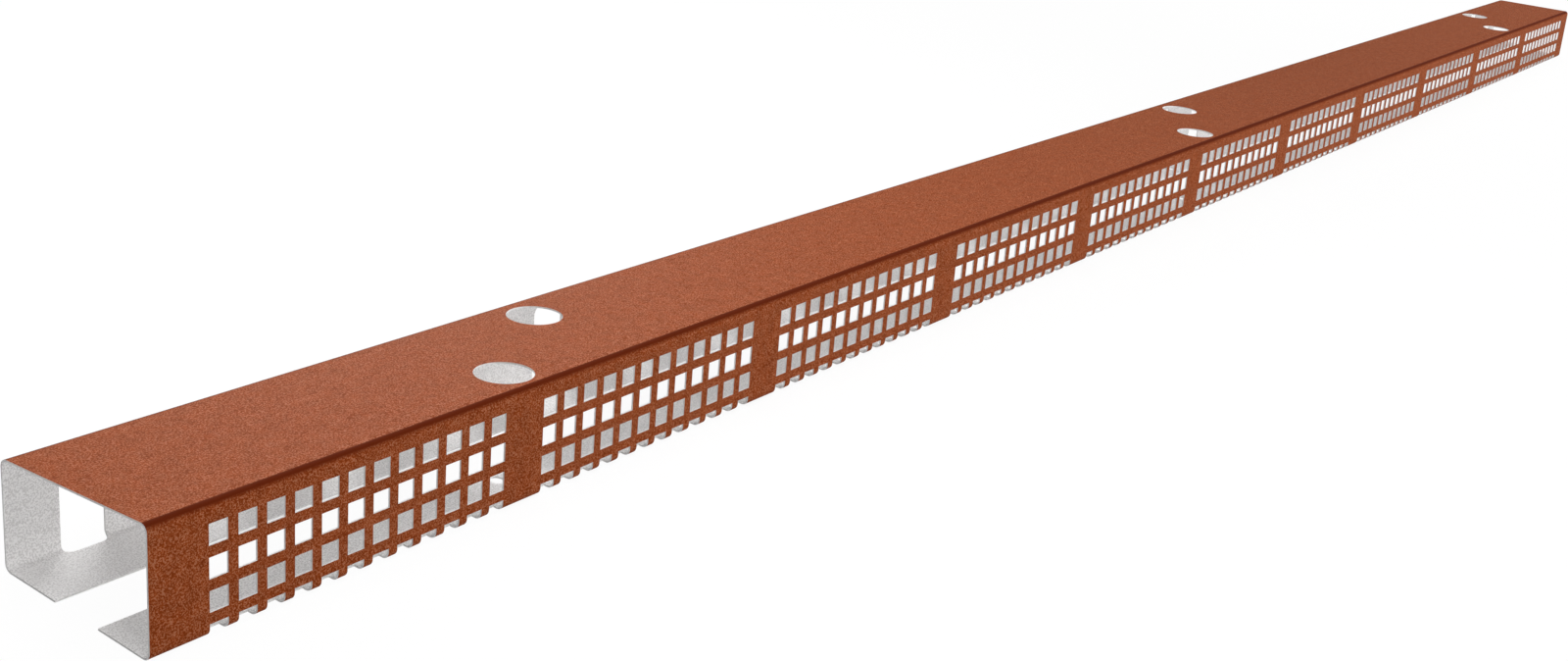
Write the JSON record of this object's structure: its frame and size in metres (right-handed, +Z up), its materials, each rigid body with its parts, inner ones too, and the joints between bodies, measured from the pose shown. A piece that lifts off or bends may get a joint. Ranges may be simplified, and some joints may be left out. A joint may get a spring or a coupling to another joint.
{
  "type": "ventilated starter strip",
  "caption": "Long folded sheet-metal eaves strip: open channel on two screwed feet, perforated front wall, slotted rear wall and driver holes in the top.",
  "frame": {"origin": "on the plane of the two feet, under the middle of the strip's bounding box", "axes": "+X along the strip, -Y the side of the perforated wall, +Z up from the feet"},
  "size_m": [1.5, 0.0646, 0.0398],
  "materials": {
    "coated_sheet": "fine-grained matt coat, brick brown outside and pale grey primer inside"
  },
  "bodies": {
    "root": {"starter_strip": "coated_sheet"}
  },
  "joints": []
}
